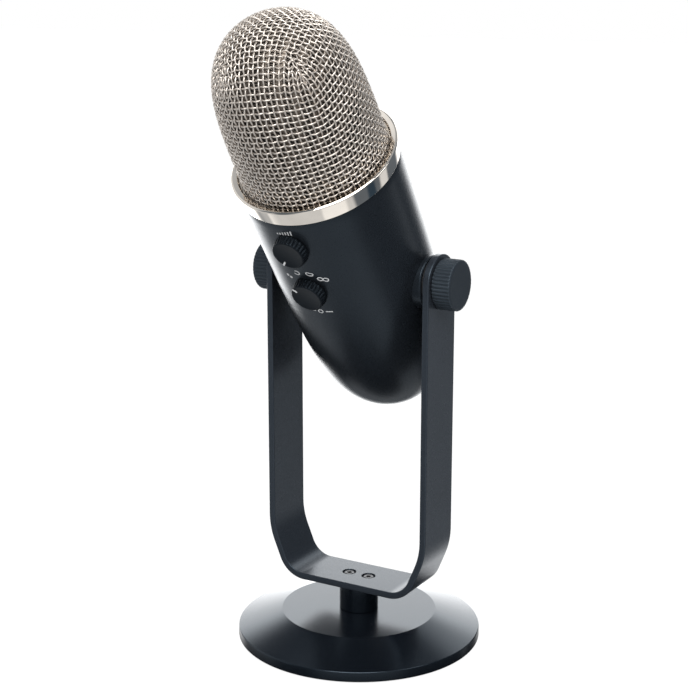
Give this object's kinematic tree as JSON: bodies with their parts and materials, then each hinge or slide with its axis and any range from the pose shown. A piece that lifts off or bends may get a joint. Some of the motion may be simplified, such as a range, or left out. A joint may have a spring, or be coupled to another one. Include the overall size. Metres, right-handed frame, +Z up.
{
  "type": "desktop microphone",
  "caption": "Side-address condenser microphone with a domed mesh grille, tilting between the arms of a strap fork on a round cast desk base.",
  "frame": {"origin": "middle of the underside of the base pad, on the desk", "axes": "+Z up, +X along the tilt axis; the side with the gain and pattern knobs faces -Y and the microphone leans towards -Y at rest"},
  "size_m": [0.11, 0.1433, 0.2824],
  "materials": {
    "satin_black": "satin powder-coated black with a slight blue cast",
    "strap_black": "satin painted black strap",
    "knob_black": "moulded black plastic with a fine grain",
    "rubber_black": "soft matt rubber",
    "chrome_ring": "polished warm chrome",
    "nickel_mesh": "drawn nickel-plated wire",
    "grey_foam": "open-cell foam",
    "bare_steel": "zinc-plated steel",
    "dark_screw": "black oxide screws",
    "brass": "machined brass",
    "board_green": "solder mask over glass laminate",
    "grey_plastic": "moulded grey plastic",
    "lamp_red": "clear tinted light pipe",
    "cable_grey": "sheathed lead",
    "print_white": "pad-printed marks and pointer lines"
  },
  "bodies": {
    "stand": {"base_casting": "satin_black", "base_pad": "rubber_black", "base_washer": "bare_steel", "base_bolt": "bare_steel", "stand_post": "satin_black", "fork_bracket": "strap_black", "fork_screw_right": "dark_screw", "fork_screw_left": "dark_screw", "friction_washer_right": "rubber_black", "friction_washer_left": "rubber_black"},
    "microphone": {"body_shell": "satin_black", "trim_ring": "chrome_ring", "head_grille": "nickel_mesh", "inner_mesh": "nickel_mesh", "foam_liner": "grey_foam", "pivot_boss_right": "satin_black", "pivot_boss_left": "satin_black", "boss_screw_right": "bare_steel", "boss_screw_left": "bare_steel", "gain_pot": "grey_plastic", "pattern_switch": "grey_plastic", "volume_pot": "grey_plastic", "mute_switch": "grey_plastic", "mute_lamp": "lamp_red", "front_board": "board_green", "rear_board": "board_green", "chassis": "bare_steel", "main_board": "board_green", "bottom_plate": "satin_black", "bottom_screw_right": "dark_screw", "bottom_screw_left": "dark_screw", "deck_screw_right": "bare_steel", "deck_screw_left": "bare_steel", "thread_insert": "brass", "bottom_board": "board_green", "usb_port": "bare_steel", "headphone_jack": "knob_black", "head_deck": "grey_plastic", "shock_mount": "rubber_black", "capsule_mount": "grey_plastic", "capsule_front": "brass", "capsule_right": "brass", "capsule_left": "brass", "capsule_board": "board_green", "capsule_lead": "cable_grey"},
    "right_tilt_knob": {"thumb_knob_right": "knob_black", "thumb_stud_right": "bare_steel"},
    "left_tilt_knob": {"thumb_knob_left": "knob_black", "thumb_stud_left": "bare_steel"},
    "gain_control": {"gain_knob": "knob_black", "gain_shaft": "bare_steel"},
    "pattern_control": {"pattern_knob": "knob_black", "pattern_shaft": "bare_steel"},
    "volume_control": {"volume_knob": "knob_black", "volume_shaft": "bare_steel"},
    "mute_control": {"mute_button": "knob_black"}
  },
  "joints": [
    {"name": "mic_tilt", "type": "hinge", "parent": "stand", "child": "microphone", "pos_m": [0, 0, 0.167], "axis": [1, 0, 0], "continuous": true},
    {"name": "right_tilt_knob_turn", "type": "hinge", "parent": "stand", "child": "right_tilt_knob", "pos_m": [0.044, 0, 0.167], "axis": [1, 0, 0], "range_deg": [0, 270]},
    {"name": "left_tilt_knob_turn", "type": "hinge", "parent": "stand", "child": "left_tilt_knob", "pos_m": [-0.044, 0, 0.167], "axis": [-1, 0, 0], "range_deg": [0, 270]},
    {"name": "gain_turn", "type": "hinge", "parent": "microphone", "child": "gain_control", "pos_m": [0, -0.05652, 0.18567], "axis": [0, 0.8241, 0.5664], "range_deg": [-5, 295]},
    {"name": "pattern_turn", "type": "hinge", "parent": "microphone", "child": "pattern_control", "pos_m": [0, -0.04264, 0.16548], "axis": [0, 0.8241, 0.5664], "range_deg": [0, 96]},
    {"name": "volume_turn", "type": "hinge", "parent": "microphone", "child": "volume_control", "pos_m": [0, 0.00282, 0.22645], "axis": [0, -0.8241, -0.5664], "range_deg": [-150, 150]},
    {"name": "mute_press", "type": "slide", "parent": "microphone", "child": "mute_control", "axis": [0, -0.8241, -0.5664], "range_m": [0, 0.0012], "stiffness_N_per_m": 300}
  ]
}
